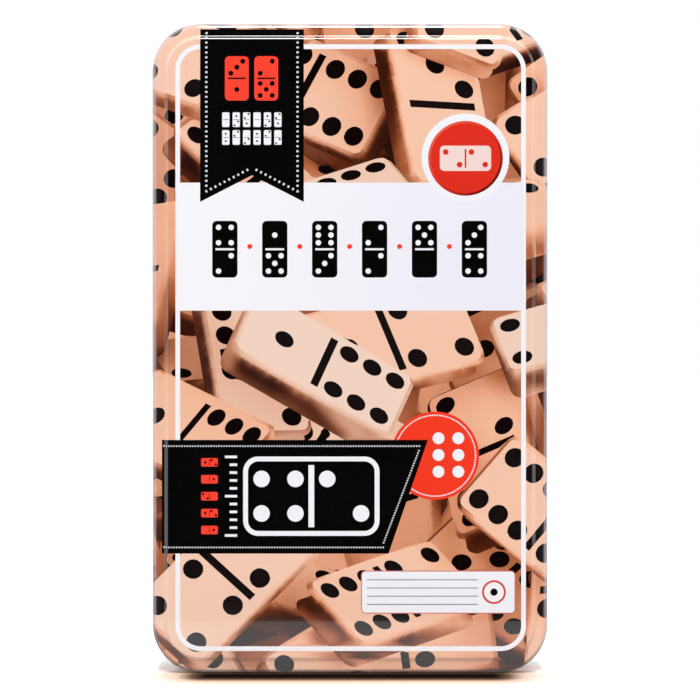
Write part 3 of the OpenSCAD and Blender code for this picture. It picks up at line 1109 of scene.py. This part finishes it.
def insertMaterial():
    # thin black sheet plastic, pulled over a mould, with a fine pebble and a few paler rubs
    recipe = Recipe(bpy.data.materials.new("formedSheet"))
    place = recipe.add("TexCoord").outputs["Object"]
    rubs = recipe.noise(place, *insertLook["rubs"])
    return recipe.finish({
        "Base Color": recipe.tint(recipe.fit(rubs, *insertLook["rubSpan"]), *insertLook["black"]),
        "Roughness": recipe.fit(rubs, *noiseSpan, *insertLook["roughness"]),
        "Normal": recipe.bump(recipe.noise(place, *insertLook["pebble"]), *insertLook["pebbleBump"]),
    })


def dress(node, material):
    # gives a CAD node its material
    mesh = bpy.data.objects[node].data
    mesh.materials.clear()
    mesh.materials.append(material)


print("materials: base, insert and tiles")
dress("base", tinMaterial)
dress("insert", insertMaterial())
ivoryMaterial = tileMaterial()
for low in range(7):
    for high in range(low, 7):
        dress(f"tile_{low}_{high}", ivoryMaterial)

studio = {
    "lens": 96.68,
    "sensor": 36,
    "sight": 20,  # how far the camera sees
    "distance": 0.55,
    "height": 0.09469,
    "floorReach": (6.0, 0.12, 6.0),  # to the sides, to the front and to the back
    "floorLevel": -0.0002,
    "floorGain": 2.6,  # how much brighter the floor is to the eye than its paint
    "farFloor": (0.22, 0.6),  # from here on the floor is plain white to the eye
    "floorShine": 0.4,  # the share of that white which reflections show
    # a painted shadow on the floor along the tin's foot: its reach to the sides, to the front and to the back
    "paintedFootShadow": {"sides": (0.0415, 0.064), "front": (0.0167, 0.0353), "back": (-0.0121, -0.004)},
    # colours of that painted shadow, from its darkest to the plain floor
    "footShadowTones": [(0.0, "#0d0806"), (0.12, "#4a382c"), (0.34, "#988678"), (0.6, "#a79a8f"), (0.83, "#aca69e"),
                  (1.0, "#d8d8d8")],
    "bounceClear": 0.85,  # how clear the floor is of that painted shadow line where it only sends light back
    "ambient": 0.505,
    "roomLevel": 0.008,
    "backdropLevel": 0.72,
    "backdropEdge": (-0.5, 0.1),
    "ceilingShare": 1.2,  # how far the white comes forward overhead
    "lamps": {  # place, aim, size and power
        "top_softbox": ((0, -0.6, 1.14), (0, 0, 0.1), (0.3, 0.62), 11.5),
        "left_softbox": ((-1.1, 0.32, 0.3), (0, 0, 0.1), (0.7, 1.2), 2.0),
        "right_softbox": ((1.1, 0.32, 0.3), (0, 0, 0.1), (0.7, 1.2), 2.0),
        "left_fill": ((-1.3, -1.0, 0.05), (0, 0, 0.05), (1.0, 0.8), 3.0),
        "right_fill": ((1.3, -1.0, 0.05), (0, 0, 0.05), (1.0, 0.8), 3.0),
    },
}


def floorMaterial():
    # pale paint that keeps the tin's real shadow, with a painted shadow line at its foot and plain white
    # further off
    recipe = Recipe(bpy.data.materials.new("studioFloor"))
    recipe.nodes.remove(recipe.nodes["Principled BSDF"])
    place = recipe.add("TexCoord").outputs["Object"]
    direct, reflected = recipe.rays()

    # how far a place is from where the painted shadow line is deepest, with its ends at 1
    where = recipe.add("SeparateXYZ", {"Vector": place}).outputs
    line = studio["paintedFootShadow"]
    side = recipe.fit(recipe.work("ABSOLUTE", where["X"]), *line["sides"])
    front = recipe.fit(recipe.work("MULTIPLY", where["Y"], -1.0), *line["front"])
    depth = recipe.work("MAXIMUM", front, recipe.fit(where["Y"], *line["back"]))
    square = recipe.work("MULTIPLY", side, side)
    beyond = recipe.work("SQRT", recipe.work("MULTIPLY_ADD", depth, depth, square))
    clear = recipe.fit(beyond, 0.0, 1.0, interpolation_type="SMOOTHSTEP")
    leastClear = recipe.fit(direct, 0.0, 1.0, studio["bounceClear"], 0.0)
    leastClear = recipe.work("MAXIMUM", leastClear, reflected)
    # the painted shadow's colour, seen fully by the eye and only faintly by light the floor sends back
    tone = recipe.add("ValToRGB", {"Fac": recipe.work("MAXIMUM", clear, leastClear)})
    stops = tone.color_ramp.elements
    for stop in studio["footShadowTones"][2:]:
        stops.new(stop[0])
    for element, (spot, code) in zip(stops, studio["footShadowTones"]):
        element.position = spot
        element.color = (*fromHex(code), 1)

    gain = recipe.fit(direct, 0.0, 1.0, 1.0, studio["floorGain"])
    seen = recipe.add("VectorMath", {0: tone.outputs["Color"], "Scale": gain}, operation="SCALE")
    paint = recipe.add("BsdfDiffuse", {"Color": seen.outputs["Vector"]})
    away = recipe.add("VectorMath", {0: place}, operation="LENGTH").outputs["Value"]
    mirrored = recipe.work("MULTIPLY", reflected, studio["floorShine"])
    shown = recipe.work("MAXIMUM", direct, mirrored)
    glow = recipe.work("MULTIPLY", shown, recipe.fit(away, *studio["farFloor"]))
    whole = recipe.add("AddShader", {0: paint.outputs["BSDF"],
                                     1: recipe.add("Emission", {"Strength": glow}).outputs["Emission"]})
    recipe.feed(recipe.nodes["Material Output"], {"Surface": whole.outputs["Shader"]})
    return recipe.owner


def buildFloor():
    side, front, back = studio["floorReach"]
    level = studio["floorLevel"]
    mesh = bpy.data.meshes.new("studio_floor")
    corners = [(-side, -front, level), (side, -front, level), (side, back, level), (-side, back, level)]
    mesh.from_pydata(corners, [], [(0, 1, 2, 3)])
    mesh.materials.append(floorMaterial())
    floorPiece = addObject("studio_floor", mesh)


def buildBackdrop():
    # white to the eye and in reflections, with a dim room in front of it
    recipe = Recipe(bpy.data.worlds.new("studioWorld"))
    bpy.context.scene.world = recipe.owner
    direct, reflected = recipe.rays()
    way = recipe.add("SeparateXYZ", {"Vector": recipe.add("TexCoord").outputs["Generated"]}).outputs
    upwards = recipe.work("MAXIMUM", way["Z"], 0.0)
    towards = recipe.work("MULTIPLY_ADD", upwards, studio["ceilingShare"], way["Y"])
    mirrored = recipe.fit(towards, *studio["backdropEdge"], studio["roomLevel"], studio["backdropLevel"])
    indirect = recipe.blend(reflected, studio["ambient"], mirrored)
    strength = recipe.blend(direct, indirect, 1.0)
    recipe.feed(recipe.nodes["Background"], {"Strength": strength, "Color": (1, 1, 1, 1)})


def buildLamp(name, at, towards, size, power):
    data = bpy.data.lights.new(name, "AREA")
    data.shape = "RECTANGLE"
    data.size, data.size_y = size
    data.energy = power
    lamp = addObject(name, data)
    lamp.location = at
    lamp.rotation_euler = (Vector(towards) - Vector(at)).to_track_quat("-Z", "Y").to_euler()


def buildCamera():
    # square on to the lid, at the tin's middle height
    camera = bpy.data.cameras.new("camera")
    camera.sensor_width = studio["sensor"]
    camera.lens = studio["lens"]
    camera.clip_end = studio["sight"]
    eye = addObject("camera", camera)
    eye.location = (0, lidLow.y - studio["distance"], studio["height"])
    eye.rotation_euler = (math.pi / 2, 0, 0)
    bpy.context.scene.camera = eye
    bpy.context.scene.view_settings.view_transform = "Standard"


print("studio: floor, lamps and camera")
buildFloor()
buildBackdrop()
for name, lamp in studio["lamps"].items():
    buildLamp(name, *lamp)
buildCamera()
